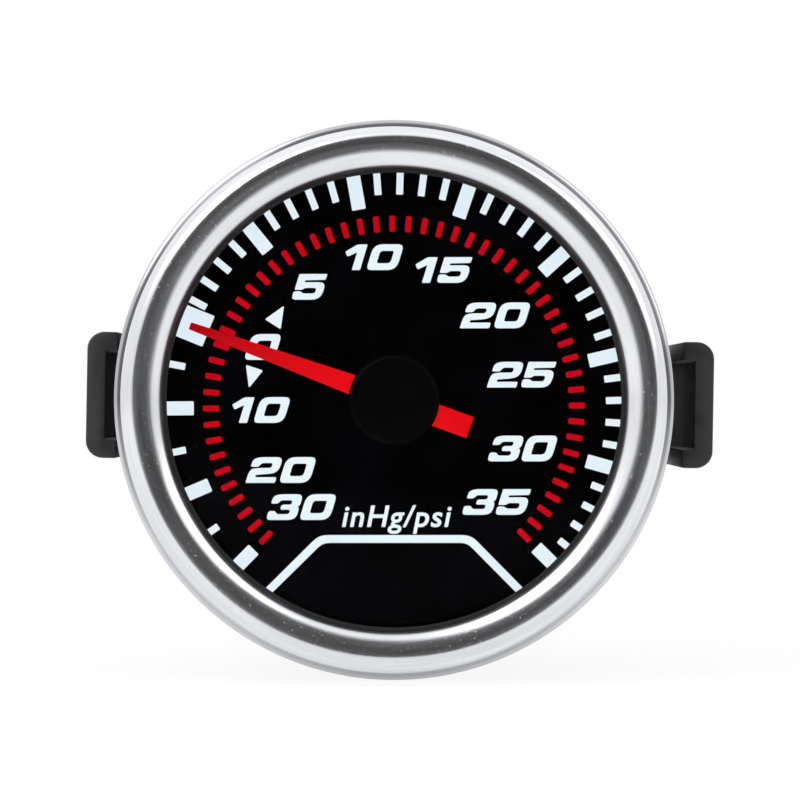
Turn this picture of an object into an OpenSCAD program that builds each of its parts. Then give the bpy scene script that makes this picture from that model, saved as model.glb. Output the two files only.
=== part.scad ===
// Boost and vacuum gauge for a round panel hole, with its pressure movement and clamp bracket.
// Pieces are drawn as the dial is seen: x to the right, y up and z towards the viewer. The rear
// face of the bezel, where it rests on the panel, is at z = 0. facing() then stands the gauge up.

/* [Case] */
// Diameter of the case that passes through the panel
case_d = 52; // [50:0.5:54]
// Depth of the case behind the panel's front face
case_depth = 34; // [33:0.5:36]
// Wall of the case behind the ledge that carries the lamp board
case_wall = 1.6; // [1.2:0.1:2]
// Wall of the case in front of that ledge
front_wall = 0.8; // [0.6:0.1:1]
// Thickness of the case's rear floor
case_floor = 1.6; // [1.2:0.1:2]
// Thickness of the flange that the bezel is rolled round
flange_t = 1; // [0.6:0.1:1.4]
// Radius of the case's rear edge
case_round = 1.5; // [0.8:0.1:2]

/* [Bezel] */
// Diameter over the bezel's rear hem
bezel_d = 60; // [59:0.5:64]
// Diameter over the bezel's skirt
skirt_d = 57.4; // [57:0.1:58]
// Diameter of the bezel's opening
view_d = 47.8; // [46:0.1:48.2]
// Height of the bezel in front of the panel
bezel_h = 9.2; // [8.8:0.1:11]
// Radius of the outer side of the roll
roll_r = 1.8; // [1.4:0.1:2.2]
// Thickness of the bezel's sheet
sheet_t = 0.7; // [0.5:0.1:0.9]
// Height of the rear hem
hem_h = 1; // [0.8:0.1:1.6]

/* [Lens and dial] */
// Thickness of the lens
lens_t = 2; // [1.5:0.1:2.2]
// Thickness of the rubber gasket under the bezel's lip
gasket_t = 0.5; // [0.3:0.1:0.7]
// Width of the gasket
gasket_w = 1.8; // [1.2:0.1:2.4]
// Depth of the dial's face behind the panel's front face
dial_sink = 0.5; // [0.2:0.1:0.8]
// Thickness of the dial plate
dial_t = 0.8; // [0.5:0.1:1]
// Thickness of the light guide
guide_t = 3; // [2.4:0.1:3.4]
// Thickness of the lamp board
board_t = 1.2; // [0.8:0.1:1.6]
// Height of a lamp on the board
lamp_h = 1; // [0.8:0.1:1.2]
// Number of lamps
lamps_n = 6; // [4:1:8]

/* [Pointer] */
// Angle of the pointer at rest, from the right and up
pointer_a = 160; // [150:1:170]
// Turn from rest down to the low end of the scale
turn_down = 65; // [60:1:70]
// Turn from rest up to the high end of the scale
turn_up = 205; // [200:1:210]
// Length of the blade from the pointer's axis
blade_len = 23.2; // [20:0.1:23.4]
// Width of the blade at the cap
blade_w = 2.2; // [1.6:0.1:2.8]
// Width of the blade's tip
tip_w = 0.8; // [0.5:0.1:1.2]
// Length of the tail from the pointer's axis
tail_len = 8.65; // [7:0.1:10]
// Width of the tail
tail_w = 2.4; // [1.8:0.1:3]
// Thickness of the pointer
pointer_t = 0.6; // [0.4:0.1:0.8]
// Diameter of the hub cap
cap_d = 9.7; // [8:0.1:11]
// Height of the hub cap
cap_h = 1.4; // [1:0.1:1.6]

/* [Movement] */
// Gear module
gear_m = 0.35; // [0.32:0.01:0.36]
// Teeth on the pinion
pinion_n = 12; // [12:1:12]
// Teeth on the whole circle of the sector gear
sector_n = 72; // [72:1:72]
// Length of the sector's tail, from its arbor to the link
lever_len = 5; // [4.6:0.1:5.2]
// Length of the link between its two pins
link_len = 7; // [6.5:0.1:7.5]
// Radius of the pressure tube's bend, at the middle of the tube
tube_bend = 20; // [19.6:0.1:20.4]
// Width of the flattened pressure tube
tube_w = 6; // [5:0.1:6.4]
// Thickness of the flattened pressure tube
tube_t = 1.8; // [1.4:0.1:2.2]
// Wall of the pressure tube
tube_wall = 0.3; // [0.2:0.05:0.4]
// Turns of the hairspring
hair_turns = 3.5; // [2.5:1:4.5]

/* [Port and studs] */
// Diameter of the hose nipple over its land
nipple_d = 4.6; // [4:0.1:5]
// Diameter of the mounting studs
stud_d = 4; // [3.5:0.1:4.2]
// Distance between the two studs
stud_gap = 34; // [33:0.5:35]
// Length of the studs that shows past the nuts
stud_past = 4.2; // [2:0.1:10]
// Diameter of the hole for the lamp leads
lead_d = 3.5; // [3:0.1:4]

/* [Bracket] */
// Width over the bracket's two legs
bracket_w = 69; // [68:0.5:74]
// Height of the bracket's feet
bracket_h = 13.9; // [13:0.1:15]
// Depth of the bracket from its feet to its rear face
bracket_depth = 41; // [41:0.5:46]
// Distance of the feet behind the panel's front face as drawn
bracket_back = 9; // [8.8:0.1:12]
// Thickness of the bracket's web
web_t = 2.1; // [1.8:0.1:2.4]
// Thickness of the bracket's two ribs
rib_t = 2.1; // [1.6:0.1:2.5]
// Height of the ribs above the web
rib_h = 1.3; // [1:0.1:1.5]
// Radius of the feet's outer corners
foot_round = 1.9; // [1:0.1:2.4]

/* [Hidden] */
$fn = 96;
arc_steps = 12;

// Clearances and the overrun of cuts
overrun = 0.5;
seat_gap = 0.1;
bore_gap = 0.03;
press_gap = 0.02;

// Case and bezel
case_r = case_d / 2;
rear_r = case_r - case_wall;
front_r = case_r - front_wall;
skirt_r = skirt_d / 2;
view_r = view_d / 2;
crest_r = skirt_r - roll_r;
lip_roll_r = crest_r - view_r;
lip_z = bezel_h - lip_roll_r;
hem_groove = 0.4;
hem_in_r = case_r + seat_gap;
flange_r = skirt_r - sheet_t - seat_gap;
flange_top = sheet_t + flange_t;

// Stack from the lens back to the ledge in the case
lens_top = lip_z - gasket_t;
lens_rear = lens_top - lens_t;
lens_r = skirt_r - sheet_t - seat_gap;
gasket_in = view_r + seat_gap;
spacer_in = front_r - front_wall;
dial_r = front_r - seat_gap;
dial_top = -dial_sink;
guide_top = dial_top - dial_t;
guide_rear = guide_top - guide_t;
board_top = guide_rear - lamp_h;
ledge_z = board_top - board_t;
shaft_hole_r = 2.6;
dial_hole_r = 1.6;
lamp_w = 3;
lamp_l = 1.6;
lamp_ring_r = 17;
boss_n = 3;
boss_r = 2.2;
boss_len = 6.5;
boss_sink_share = 0.3;
boss_ring_r = rear_r - boss_r + case_wall * boss_sink_share;
boss_turn = 30;
board_screw_r = 0.8;
board_head_r = 1.7;
board_head_h = 0.7;
board_screw_len = 5;

// Pointer and its shaft
pointer_lift = 1.5;
pointer_z = dial_top + pointer_lift;
pointer_top = pointer_z + pointer_t;
boss_drop = 0.8;
pointer_boss_r = 1.5;
cap_round = 0.6;
shaft_r = 0.8;
pivot_r = 0.5;
pivot_len = 1;

// Movement, from its back plate forward
plate_t = 1;
floor_z = case_floor - case_depth;
block_h = 7.4;
back_z = floor_z + block_h;
back_top = back_z + plate_t;
plate_gap_share = 0.63;
plate_gap = (ledge_z - back_top) * plate_gap_share;
front_z = back_top + plate_gap;
front_top = front_z + plate_t;
plate_edge_r = 2.5;
bush_r = 1.5;
bush_stand = 0.3;
sector_t = 1;
pinion_over = 1;
collet_h = 1.6;
link_t = 0.8;
link_gap = 0.4;

// The height left over between the plates is shared out below and above the pinion
stack_room = plate_gap - bush_stand - sector_t - 2 * pinion_over - collet_h;
pinion_share = 0.653;
collet_share = 0.114;
sector_z = back_top + pinion_over + stack_room * pinion_share;
pinion_top = sector_z + sector_t + pinion_over;
collet_z = pinion_top + stack_room * collet_share;
link_z = sector_z - link_gap - link_t;
link_play = 0.4;
pin_r = 0.5;
pin_head_r = 0.9;
pin_head_t = 0.4;
link_edge = 0.6;
pillar_r = 1.4;
plate_screw_r = 0.7;
plate_head_r = 1.6;
plate_head_h = 0.8;
plate_screw_len = 3;

// Gear pair: involute teeth, shortened so that the small pinion needs no undercut
pressure_a = 25;
tip_share = 0.8;
root_share = 1.05;
backlash = 0.1;
flank_steps = 4;
pinion_r = gear_m * pinion_n / 2;
sector_r = gear_m * sector_n / 2;
centre_gap = pinion_r + sector_r;
arbor_a = -33;
arbor = polar(centre_gap, arbor_a);
gear_ratio = sector_n / pinion_n;
sweep_up = turn_up / gear_ratio;
sweep_down = turn_down / gear_ratio;
lever_a = (sweep_down - sweep_up) / 2;
sector_pitch_a = 360 / sector_n;
first_tooth = -ceil(sweep_up / sector_pitch_a + 2);
last_tooth = floor(sweep_down / sector_pitch_a + 1.5);
hub_r = 2.4;
lever_w = 2.4;
window_in = 4.2;
window_out = 9.6;
window_margin_a = 11;
link_low = arbor + polar(lever_len, lever_a);
link_high = link_low + [0, link_len];

// Pillars stand clear of the sector's sweep, in order round the plates; the distances are shares
// of the gears' centre distance, the first from the sector's arbor and the others from the shaft
pillar_shares = [0.476, 0.98, 0.776, 0.946];
pillar_angles = [-60, 56, 142, 240];
pillar_places = [
    for (i = [0:3])
        (i == 0 ? arbor : [0, 0]) + polar(centre_gap * pillar_shares[i], pillar_angles[i])
];

// Hairspring
collet_r = 1.3;
hair_t = 0.2;
hair_h = 0.6;
hair_pitch = 0.8;
hair_steps = 24;
hair_z = collet_z + collet_h / 2;
hair_stud_r = 0.4;

// Socket block, tube and port
block_w = 10;
block_up = 6;
block_cover = 2.6;
block_end = tube_bend + block_cover;
tube_z = back_z - tube_w / 2;
tube_end_a = 268;
tip_h = 3.4;
tip_in = 1;
tip_out = 0.5;
neck_r = 4;
neck_len = 6;
neck_bore_r = 2.6;
nut_af = 12;
nut_t = 2.6;
hex_af = 8;
hex_t = 3.5;
duct_r = 1;
stub_len = 4;
land_len = 3;
barb_n = 3;
barb_len = 3;
barb_drop = 0.5;
barb_crest_share = 0.8;
block_screw_r = 1;
block_head_r = 1.8;
block_head_h = 1;
block_screw_len = 5;
block_screw_shares = [0.354, 0.664];
block_screw_at = block_end * block_screw_shares;

// Grommet
grommet_up = 13.5;
grommet_at = [0, grommet_up];
grommet_r = 4.2;
grommet_neck_r = 3;
grommet_lip = 1.2;

// Studs, bracket and nuts
stud_r = stud_d / 2;
stud_head_r = 3.2;
stud_head_t = 1.1;
slot_r = 2.75;
slot_run = 2;
pad_r = 9.5;
port_clear_r = 5.6;
bracket_shift = 0.64;
bracket_turn = -1;
back_round = 5;
rib_round = 2.5;
bracket_front = -bracket_back;
bracket_rear = bracket_front - bracket_depth;
washer_t = 0.8;
washer_in_r = 2.3;
washer_out_r = 3.8;
washer_slit = 0.8;
thumb_r = 5.5;
thumb_t = 5;
thumb_collar_r = 4.2;
thumb_collar_t = 1.2;
flute_n = 18;
flute_r = 0.45;
nut_gap = 0.06;
stud_rear = bracket_rear - washer_t - thumb_t - stud_past;

// Place at a distance and an angle
function polar(r, a) = [r * cos(a), r * sin(a)];

// Places along an arc that starts at one angle and runs on by another
function arc(middle, r, start_a, run_a) = [
    for (i = [0:arc_steps]) middle + polar(r, start_a + run_a * i / arc_steps)
];

// Direction at right angles to a line, to its right
function right_of(from, to) = atan2(to[1] - from[1], to[0] - from[0]) - 90;

// Involute function, in degrees
function roll_angle(a) = tan(a) * 180 / PI - a;

// Half of a tooth's angle at a radius
function tooth_half(n, r) =
    let (pitch = gear_m * n / 2, base = pitch * cos(pressure_a))
    90 / n - backlash / 4 / pitch * 180 / PI
    + roll_angle(pressure_a) - roll_angle(acos(min(1, base / r)));

// Outline of one tooth, from its root over its tip and back to its root
function tooth(n, middle) =
    let (
        pitch = gear_m * n / 2,
        base = pitch * cos(pressure_a),
        tip = pitch + tip_share * gear_m,
        root = pitch - root_share * gear_m,
        low = max(base, root),
        radii = [for (i = [0:flank_steps]) low + (tip - low) * i / flank_steps]
    )
    concat(
        root < low ? [polar(root, middle - tooth_half(n, low))] : [],
        [for (r = radii) polar(r, middle - tooth_half(n, r))],
        [for (i = [flank_steps:-1:0]) polar(radii[i], middle + tooth_half(n, radii[i]))],
        root < low ? [polar(root, middle + tooth_half(n, low))] : []
    );

module facing() {
    rotate([90, 0, 0]) children();
}

// Disc or round bar between two depths
module disc(r, z0, z1) {
    translate([0, 0, min(z0, z1)]) cylinder(r = r, h = abs(z1 - z0));
}

// Washer-like ring between two depths
module ring(r_out, r_in, z0, z1) {
    difference() {
        disc(r_out, z0, z1);
        disc(r_in, min(z0, z1) - overrun, max(z0, z1) + overrun);
    }
}

// Flat bar with round ends between two places, in the plane
module strap(from, to, w) {
    side_a = right_of(from, to);
    polygon(concat(arc(to, w / 2, side_a, 180), arc(from, w / 2, side_a + 180, 180)));
}

// Plane shape given a thickness between two depths
module slab(z0, z1) {
    translate([0, 0, min(z0, z1)]) linear_extrude(abs(z1 - z0)) children();
}

module hexagon(af, z0, z1) {
    translate([0, 0, min(z0, z1)]) cylinder(d = af / cos(30), h = abs(z1 - z0), $fn = 6);
}

module at_bosses() {
    for (i = [0:boss_n - 1]) rotate(boss_turn + 360 / boss_n * i)
        translate([boss_ring_r, 0, 0]) children();
}

module at_studs() {
    for (side = [-1, 1]) translate([side * stud_gap / 2, 0, 0]) children();
}

module at_pillars() {
    for (place = pillar_places) translate(place) children();
}

// Outline of the case's outer wall, flange included, as radius and depth
module case_outline() {
    polygon(concat(
        [[0, -case_depth]],
        arc([case_r - case_round, case_round - case_depth], case_round, -90, 90),
        [
            [case_r, 0],
            [case_r - hem_groove, 0],
            [case_r - hem_groove, sheet_t],
            [flange_r, sheet_t],
            [flange_r, flange_top],
            [0, flange_top],
        ]
    ));
}

module housing() {
    facing() color("dimgray") difference() {
        union() {
            rotate_extrude() difference() {
                case_outline();
                translate([0, floor_z]) square([rear_r, case_depth]);
                translate([0, ledge_z]) square([front_r, case_depth]);
            }
            at_bosses() disc(boss_r, ledge_z - seat_gap, ledge_z - boss_len);
        }
        at_bosses() disc(board_screw_r, ledge_z + overrun, ledge_z - board_screw_len);
        disc(neck_r + seat_gap, floor_z + overrun, -case_depth - overrun);
        at_studs() disc(stud_r + press_gap, floor_z + overrun, -case_depth - overrun);
        translate(grommet_at)
            disc(grommet_neck_r + press_gap, floor_z + overrun, -case_depth - overrun);
    }
}

// Solid section of the bezel's roll, drawn in by a given amount
module roll_section(inset) {
    intersection() {
        translate([crest_r, lip_z]) circle(lip_roll_r - inset);
        translate([0, lip_z - inset]) square([crest_r, bezel_h]);
    }
    intersection() {
        translate([crest_r, bezel_h - roll_r]) circle(roll_r - inset);
        translate([crest_r, bezel_h - roll_r]) square([skirt_r, bezel_h]);
    }
    translate([crest_r, inset]) square([roll_r - inset, bezel_h - roll_r - inset]);
}

// The sheet is rolled over the lens at the front and under the flange at the rear
module bezel() {
    facing() color("silver") rotate_extrude() {
        difference() {
            intersection() {
                roll_section(0);
                translate([view_r, 0]) square([skirt_r, bezel_h]);
            }
            roll_section(sheet_t);
            translate([0, lip_z - bezel_h]) square([crest_r, bezel_h]);
        }
        translate([hem_in_r, 0]) square([skirt_r - hem_in_r, sheet_t]);
        translate([skirt_r - sheet_t, 0]) square([bezel_d / 2 - skirt_r + sheet_t, hem_h]);
    }
}

module lens_gasket() {
    facing() color("black") ring(gasket_in + gasket_w, gasket_in, lens_top, lip_z);
}

module lens() {
    facing() color([0.2, 0.2, 0.22, 0.4]) disc(lens_r, lens_rear, lens_top);
}

// The ring stands on the flange, and its skirt presses the dial down
module spacer_ring() {
    facing() color("black") {
        ring(lens_r, spacer_in, flange_top, lens_rear);
        ring(dial_r, spacer_in, dial_top, flange_top + overrun);
    }
}

module dial_plate() {
    facing() color([0.06, 0.06, 0.06]) ring(dial_r, dial_hole_r, guide_top, dial_top);
}

module light_guide() {
    facing() color("white") difference() {
        ring(dial_r, shaft_hole_r, guide_rear, guide_top);
        at_bosses() disc(board_head_r + seat_gap, guide_rear - overrun, guide_top + overrun);
    }
}

module lamp_board() {
    facing() color("darkgreen") difference() {
        ring(dial_r, shaft_hole_r, ledge_z, board_top);
        at_bosses() disc(board_screw_r + seat_gap, ledge_z - overrun, board_top + overrun);
    }
}

module lamps() {
    facing() color("ivory") for (i = [0:lamps_n - 1]) rotate(360 / lamps_n * i)
        translate([lamp_ring_r - lamp_l / 2, -lamp_w / 2, board_top])
            cube([lamp_l, lamp_w, lamp_h]);
}

module board_screws() {
    facing() color("silver") at_bosses() {
        disc(board_head_r, board_top, board_top + board_head_h);
        disc(board_screw_r - press_gap, board_top, ledge_z - board_screw_len + overrun);
    }
}

// A tapered blade, a square-ended tail and the boss that grips the shaft
module pointer() {
    facing() color("red") rotate(pointer_a) difference() {
        union() {
            slab(pointer_z, pointer_top) {
                polygon([
                    [0, -blade_w / 2],
                    [blade_len, -tip_w / 2],
                    [blade_len, tip_w / 2],
                    [0, blade_w / 2],
                ]);
                translate([-tail_len, -tail_w / 2]) square([tail_len, tail_w]);
                circle(cap_d / 2 - cap_round);
            }
            disc(pointer_boss_r, pointer_z - boss_drop, pointer_z);
        }
        disc(shaft_r + press_gap, pointer_z - boss_drop - overrun, pointer_top + overrun);
    }
}

module hub_cap() {
    facing() color("black") rotate_extrude() {
        translate([0, pointer_top]) square([cap_d / 2, cap_h - cap_round]);
        translate([0, pointer_top]) square([cap_d / 2 - cap_round, cap_h]);
        intersection() {
            translate([cap_d / 2 - cap_round, pointer_top + cap_h - cap_round]) circle(cap_round);
            translate([0, pointer_top]) square([cap_d, cap_h]);
        }
    }
}

module pointer_shaft() {
    facing() color("gainsboro") {
        disc(shaft_r, pointer_top, back_top + seat_gap);
        disc(pivot_r, back_top + seat_gap + overrun, back_top - pivot_len + seat_gap);
    }
}

module pinion() {
    facing() color("gold") difference() {
        slab(sector_z - pinion_over, pinion_top) rotate(arbor_a)
            polygon([for (i = [0:pinion_n - 1]) each tooth(pinion_n, 360 / pinion_n * i)]);
        disc(shaft_r + press_gap, sector_z - pinion_over - overrun, pinion_top + overrun);
    }
}

module collet() {
    facing() color("gold")
        ring(collet_r, shaft_r + press_gap, collet_z, collet_z + collet_h);
}

// Places along the hairspring's middle line
function hair_radius(turns) = collet_r + hair_t / 2 + press_gap + hair_pitch * turns;
function hair_side(side) = [
    for (i = [0:hair_steps * hair_turns])
        let (turns = i / hair_steps) polar(hair_radius(turns) + side * hair_t / 2, 360 * turns)
];
hair_inner = hair_side(-1);
hair_outer = hair_side(1);
hair_last = len(hair_inner) - 1;
hair_gap = min([
    for (i = [0:hair_last - hair_steps]) norm(hair_inner[i + hair_steps] - hair_outer[i])
]);
echo("least gap between the hairspring's turns", hair_gap);

module hairspring() {
    facing() color("peru") slab(hair_z - hair_h / 2, hair_z + hair_h / 2)
        polygon(concat(hair_outer, [for (i = [hair_last:-1:0]) hair_inner[i]]));
}

// Outline of both movement plates: round corners at the pillars and straight edges between
module plate_outline() {
    sides = [for (i = [0:3]) right_of(pillar_places[i], pillar_places[(i + 1) % 4])];
    polygon([
        for (i = [0:3])
            let (before = sides[(i + 3) % 4])
            each arc(pillar_places[i], plate_edge_r, before, (sides[i] - before + 720) % 360)
    ]);
}

module plate_holes(z0, z1) {
    disc(bush_r + press_gap, z0 - overrun, z1 + overrun);
    translate(arbor) disc(bush_r + press_gap, z0 - overrun, z1 + overrun);
    at_pillars() disc(plate_screw_r + seat_gap, z0 - overrun, z1 + overrun);
}

// The front plate also carries the stud that holds the hairspring's outer end
module front_plate() {
    facing() color("khaki") {
        difference() {
            slab(front_z, front_top) plate_outline();
            plate_holes(front_z, front_top);
        }
        translate(polar(hair_radius(hair_turns) + hair_t / 2 + hair_stud_r + seat_gap,
            360 * hair_turns)) disc(hair_stud_r, hair_z - hair_h, front_z);
    }
}

module back_plate() {
    facing() color("khaki") difference() {
        slab(back_z, back_top) {
            plate_outline();
            strap([0, 0], [0, -block_screw_at[1]], 2 * plate_edge_r);
        }
        plate_holes(back_z, back_top);
        for (y = block_screw_at) translate([0, -y])
            disc(block_screw_r + seat_gap, back_z - overrun, back_top + overrun);
    }
}

module pillars() {
    facing() color("gold") at_pillars() difference() {
        disc(pillar_r, back_top, front_z);
        disc(plate_screw_r + press_gap, front_z + overrun, front_z - plate_screw_len);
    }
}

module plate_screws() {
    facing() color("silver") at_pillars() {
        disc(plate_head_r, front_top, front_top + plate_head_h);
        disc(plate_screw_r, front_top, front_z - plate_screw_len + overrun);
    }
}

module bushes() {
    facing() color("goldenrod") for (place = [[0, 0], arbor]) translate(place) {
        ring(bush_r, (place == arbor ? pivot_r : shaft_r) + bore_gap,
            front_z - bush_stand, front_top);
        ring(bush_r, pivot_r + bore_gap, back_z, back_top);
    }
}

// Toothed fan, hub and lever of the sector gear, cut out between hub and rim
module sector_gear() {
    facing() color("gold") difference() {
        translate(arbor) slab(sector_z, sector_z + sector_t) difference() {
            union() {
                polygon(concat([[0, 0]], [
                    for (i = [first_tooth:last_tooth])
                        each tooth(sector_n, 180 + arbor_a + sector_pitch_a * (i + 0.5))
                ]));
                circle(hub_r);
                strap([0, 0], polar(lever_len, lever_a), lever_w);
            }
            intersection() {
                difference() {
                    circle(window_out);
                    circle(window_in);
                }
                polygon([
                    [0, 0],
                    polar(sector_r, 180 + arbor_a + sector_pitch_a * first_tooth + window_margin_a),
                    polar(sector_r, 180 + arbor_a + sector_pitch_a * last_tooth - window_margin_a),
                ]);
            }
        }
        translate(arbor) disc(shaft_r + press_gap, sector_z - overrun,
            sector_z + sector_t + overrun);
        translate(link_low) disc(pin_r, sector_z - overrun, sector_z + sector_t + overrun);
    }
}

module sector_arbor() {
    facing() color("gainsboro") translate(arbor) {
        disc(shaft_r, back_top + seat_gap, front_z - bush_stand - seat_gap);
        disc(pivot_r, back_top - pivot_len + seat_gap, front_top - seat_gap);
    }
}

module link_pin() {
    facing() color("gainsboro") translate(link_low) {
        disc(pin_r, link_z - seat_gap, sector_z + sector_t);
        disc(pin_head_r, link_z - seat_gap - pin_head_t, link_z - seat_gap);
    }
}

// The upper hole is wide, because the tube's end moves on a slightly other path than the lever
module link_rod() {
    facing() color("gainsboro") difference() {
        slab(link_z, link_z + link_t) {
            strap(link_low, link_high, 2 * link_edge);
            translate(link_low) circle(pin_r + bore_gap + link_edge);
            translate(link_high) circle(pin_r + link_play + link_edge);
        }
        translate(link_low) disc(pin_r + bore_gap, link_z - overrun, link_z + link_t + overrun);
        translate(link_high) disc(pin_r + link_play, link_z - overrun, link_z + link_t + overrun);
    }
}

module tube_tip() {
    facing() color("gold") {
        translate([link_high[0] - tip_in, -tip_h, tube_z - tube_w / 2])
            cube([tube_bend + tube_t / 2 + tip_out - link_high[0] + tip_in, tip_h, tube_w]);
        translate(link_high) disc(pin_r, tube_z, link_z + link_t + link_gap / 2);
    }
}

// Flattened section of the pressure tube, grown by a given amount
module tube_section(grow) {
    for (end = [-1, 1]) translate([tube_bend, end * (tube_w - tube_t) / 2])
        circle(tube_t / 2 + grow);
    translate([tube_bend - tube_t / 2 - grow, (tube_t - tube_w) / 2])
        square([tube_t + 2 * grow, tube_w - tube_t]);
}

module bourdon_tube() {
    facing() color("goldenrod") translate([0, 0, tube_z]) rotate_extrude(angle = tube_end_a)
        difference() {
            tube_section(0);
            tube_section(-tube_wall);
        }
}

// Pressure enters through the neck and passes up the block into the tube's end
module socket_block() {
    facing() color("goldenrod") difference() {
        union() {
            translate([-block_w / 2, -block_end, floor_z])
                cube([block_w, block_end + block_up, block_h]);
            disc(neck_r, floor_z, -case_depth - neck_len);
        }
        translate([0, 0, tube_z]) rotate_extrude(angle = tube_end_a + 1)
            tube_section(press_gap);
        disc(neck_bore_r, -case_depth - neck_len - overrun, -case_depth - neck_len + stub_len);
        disc(duct_r, -case_depth, tube_z);
        translate([0, 0, tube_z]) rotate([90, 0, 0]) cylinder(r = duct_r, h = tube_bend);
        for (y = block_screw_at) translate([0, -y])
            disc(block_screw_r, back_z + overrun, back_z - block_screw_len);
        disc(pivot_r + seat_gap, back_z + overrun, back_z - overrun);
    }
}

module block_screws() {
    facing() color("silver") for (y = block_screw_at) translate([0, -y]) {
        disc(block_head_r, back_top, back_top + block_head_h);
        disc(block_screw_r - press_gap, back_top, back_z - block_screw_len + overrun);
    }
}

module port_nut() {
    facing() color("goldenrod") difference() {
        hexagon(nut_af, -case_depth, -case_depth - nut_t);
        disc(neck_r + bore_gap, -case_depth + overrun, -case_depth - nut_t - overrun);
    }
}

// Hexagon, stub that screws into the neck, and a nipple whose barbs grip the hose
module hose_fitting() {
    hex_z = -case_depth - neck_len;
    land_z = hex_z - hex_t;
    barb_z = land_z - land_len;
    crest = nipple_d / 2;
    facing() color("goldenrod") difference() {
        union() {
            hexagon(hex_af, hex_z, land_z);
            disc(neck_bore_r - press_gap, hex_z, hex_z + stub_len - overrun);
            disc(crest, land_z, barb_z);
            rotate_extrude() for (i = [0:barb_n - 1]) translate([0, barb_z - barb_len * (i + 1)])
                polygon([
                    [0, 0],
                    [crest - barb_drop, 0],
                    [crest, barb_len * barb_crest_share],
                    [crest - barb_drop, barb_len * barb_crest_share],
                    [crest - barb_drop, barb_len],
                    [0, barb_len],
                ]);
        }
        disc(duct_r, hex_z + stub_len, barb_z - barb_len * barb_n - overrun);
    }
}

module grommet() {
    facing() color("black") translate(grommet_at) difference() {
        union() {
            disc(grommet_r, floor_z, floor_z + grommet_lip);
            disc(grommet_neck_r, floor_z + grommet_lip, -case_depth - grommet_lip);
            disc(grommet_r, -case_depth, -case_depth - grommet_lip);
        }
        disc(lead_d / 2, floor_z + grommet_lip + overrun, -case_depth - grommet_lip - overrun);
    }
}

module studs() {
    facing() color("silver") at_studs() {
        disc(stud_r, floor_z, stud_rear);
        disc(stud_head_r, floor_z, floor_z + stud_head_t);
    }
}

// Plan of a U, solid inside, with round rear corners
module u_plan(half_w, front, rear, corner) {
    translate([-half_w, rear + corner]) square([2 * half_w, front - rear - corner]);
    translate([corner - half_w, rear]) square([2 * (half_w - corner), 2 * corner]);
    for (side = [-1, 1]) translate([side * (half_w - corner), rear + corner]) circle(corner);
}

module upright(h) {
    rotate([90, 0, 0]) translate([0, 0, -h / 2]) linear_extrude(h) children();
}

// U bracket of channel section: legs, feet and crossbar, with a round pad for the port
module bracket() {
    half_w = bracket_w / 2;
    web_rear = bracket_rear + web_t;
    facing() color([0.1, 0.1, 0.1]) translate([bracket_shift, 0, 0]) rotate(bracket_turn)
        difference() {
            union() {
                intersection() {
                    upright(bracket_h) difference() {
                        u_plan(half_w, bracket_front, bracket_rear, back_round);
                        u_plan(half_w - web_t - rib_h, bracket_front + overrun,
                            web_rear + rib_h, rib_round);
                    }
                    slab(bracket_rear, bracket_front) foot_outline(half_w);
                }
                disc(pad_r, bracket_rear, web_rear + rib_h);
            }
            difference() {
                upright(bracket_h - 2 * rib_t)
                    u_plan(half_w - web_t, bracket_front + overrun, web_rear, rib_round);
                disc(pad_r, bracket_rear, web_rear + rib_h);
            }
            disc(port_clear_r, bracket_rear - overrun, web_rear + rib_h + overrun);
            at_studs() slab(bracket_rear - overrun, web_rear + rib_h + overrun)
                strap([-slot_run / 2, 0], [slot_run / 2, 0], 2 * slot_r);
        }
}

// Front view of the feet, with round outer corners
module foot_outline(half_w) {
    square([2 * (half_w - foot_round), bracket_h], center = true);
    square([2 * half_w, bracket_h - 2 * foot_round], center = true);
    for (x = [-1, 1], y = [-1, 1])
        translate([x * (half_w - foot_round), y * (bracket_h / 2 - foot_round)])
            circle(foot_round);
}

module spring_washers() {
    facing() color("silver") at_studs() difference() {
        ring(washer_out_r, washer_in_r, bracket_rear, bracket_rear - washer_t);
        translate([0, -washer_slit / 2, bracket_rear - washer_t - overrun])
            cube([washer_out_r + overrun, washer_slit, washer_t + 2 * overrun]);
    }
}

// Fluted thumb nut with a plain collar towards the washer
module thumb_nut(side) {
    top = bracket_rear - washer_t;
    translate([side * stud_gap / 2, 0, 0]) difference() {
        union() {
            disc(thumb_collar_r, top, top - thumb_collar_t);
            difference() {
                disc(thumb_r, top - thumb_collar_t, top - thumb_t);
                for (i = [0:flute_n - 1]) rotate(360 / flute_n * i) translate([thumb_r, 0, 0])
                    disc(flute_r, top - thumb_collar_t + overrun, top - thumb_t - overrun);
            }
        }
        disc(stud_r + nut_gap, top + overrun, top - thumb_t - overrun);
    }
}

module left_nut() {
    facing() color("goldenrod") thumb_nut(-1);
}

module right_nut() {
    facing() color("goldenrod") thumb_nut(1);
}

housing();
bezel();
lens_gasket();
lens();
spacer_ring();
dial_plate();
light_guide();
lamp_board();
lamps();
board_screws();
pointer();
hub_cap();
pointer_shaft();
pinion();
collet();
hairspring();
front_plate();
back_plate();
pillars();
plate_screws();
bushes();
sector_gear();
sector_arbor();
link_pin();
link_rod();
tube_tip();
bourdon_tube();
socket_block();
block_screws();
port_nut();
hose_fitting();
grommet();
studs();
bracket();
spring_washers();
left_nut();
right_nut();
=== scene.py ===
import math

import bpy
from mathutils import Euler, Matrix, Vector


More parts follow.
